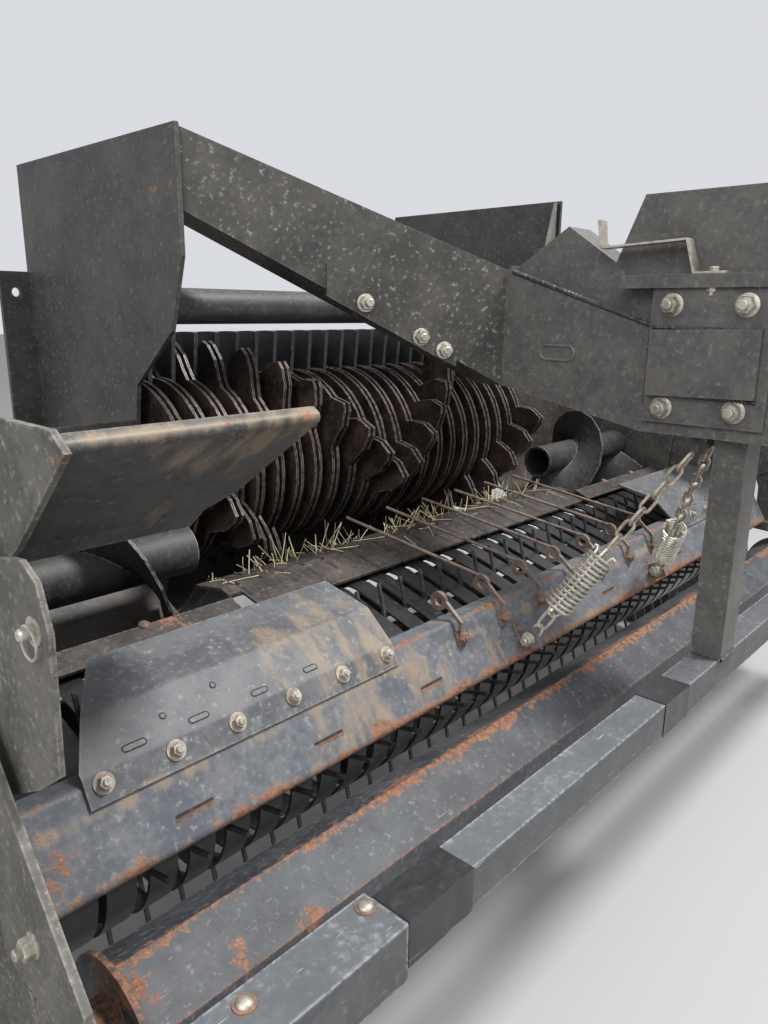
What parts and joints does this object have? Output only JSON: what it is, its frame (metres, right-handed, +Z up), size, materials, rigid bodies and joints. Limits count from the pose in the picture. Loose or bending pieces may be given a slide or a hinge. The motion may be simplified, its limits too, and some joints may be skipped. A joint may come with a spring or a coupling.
{
  "type": "round baler pickup and feed unit",
  "caption": "Pickup and feed unit of a round baler: tined reel under stripper bands, crop guard on chains, feed rotor with augers, drawbar neck and front guard bar.",
  "frame": {"origin": "middle of the rectangle of bolt holes in the two rear flanges, on the flanges' rear face", "axes": "+X towards the machine's left side, -Y the way it travels, +Z up"},
  "size_m": [2.332, 1.33, 1.27],
  "materials": {
    "black_paint": "satin, dusty and worn",
    "worn_paint": "satin, rusty edges",
    "rotor_steel": "worn and rusted",
    "floor_steel": "brown-black, rubbed",
    "band_steel": "smooth black",
    "tine_steel": "spring steel, rusty",
    "rod_steel": "rusty spring wire",
    "zinc": "yellowed zinc",
    "rim_paint": "grey wheel paint",
    "tyre": "matt"
  },
  "bodies": {
    "frame": {"side_plate_right": "black_paint", "side_plate_left": "black_paint", "cross_tube": "black_paint", "feed_floor": "floor_steel", "auger_trough_right": "floor_steel", "auger_trough_left": "floor_steel", "outer_plate_right": "black_paint", "outer_plate_left": "black_paint", "auger_hood_right": "black_paint", "auger_hood_left": "black_paint", "stripper_comb": "rotor_steel", "guard_bar": "worn_paint", "bar_sleeve_right": "worn_paint", "bar_sleeve_left": "worn_paint", "post": "black_paint", "neck": "black_paint", "neck_arm_right": "black_paint", "neck_arm_left": "black_paint", "chain_hook_right": "black_paint", "chain_hook_left": "black_paint", "chain_right": "zinc", "chain_left": "zinc", "chain_spring_right": "zinc", "chain_spring_left": "zinc"},
    "rotor": {"rotor": "rotor_steel"},
    "auger_right": {"auger_right": "black_paint"},
    "auger_left": {"auger_left": "black_paint"},
    "pickup": {"pickup_side_right": "black_paint", "pickup_side_left": "black_paint", "pickup_tube": "black_paint", "stripper_bands": "band_steel"},
    "reel": {"tine_reel": "tine_steel"},
    "crop_guard": {"guard_plate": "worn_paint", "spring_rods": "rod_steel", "guard_arm_right": "worn_paint", "guard_arm_left": "worn_paint", "deflector_right": "worn_paint", "deflector_left": "worn_paint"},
    "front_roller": {"front_roller": "worn_paint"},
    "wheel_right": {"wheel_rim_right": "rim_paint", "wheel_tyre_right": "tyre"},
    "wheel_left": {"wheel_rim_left": "rim_paint", "wheel_tyre_left": "tyre"}
  },
  "joints": [
    {"name": "rotor_spin", "type": "hinge", "parent": "frame", "child": "rotor", "pos_m": [0, -0.314, -0.06], "axis": [1, 0, 0], "continuous": true},
    {"name": "auger_right_spin", "type": "hinge", "parent": "frame", "child": "auger_right", "pos_m": [0, -0.53, -0.148], "axis": [1, 0, 0], "continuous": true},
    {"name": "auger_left_spin", "type": "hinge", "parent": "frame", "child": "auger_left", "pos_m": [0, -0.53, -0.148], "axis": [1, 0, 0], "continuous": true},
    {"name": "pickup_lower", "type": "hinge", "parent": "frame", "child": "pickup", "pos_m": [0, -0.31, 0], "axis": [1, 0, 0], "range_deg": [0, 8]},
    {"name": "reel_spin", "type": "hinge", "parent": "pickup", "child": "reel", "pos_m": [0, -0.79, -0.39], "axis": [1, 0, 0], "continuous": true},
    {"name": "guard_lift", "type": "hinge", "parent": "frame", "child": "crop_guard", "pos_m": [0, -0.52, 0.08], "axis": [-1, 0, 0], "range_deg": [0, 8], "deforming": ["chain_right", "chain_left", "chain_spring_right", "chain_spring_left"]},
    {"name": "roller_spin", "type": "hinge", "parent": "crop_guard", "child": "front_roller", "pos_m": [0, -1.052, -0.428], "axis": [1, 0, 0], "continuous": true},
    {"name": "wheel_right_spin", "type": "hinge", "parent": "pickup", "child": "wheel_right", "pos_m": [0, -0.6, -0.6], "axis": [1, 0, 0], "continuous": true},
    {"name": "wheel_left_spin", "type": "hinge", "parent": "pickup", "child": "wheel_left", "pos_m": [0, -0.6, -0.6], "axis": [1, 0, 0], "continuous": true}
  ]
}
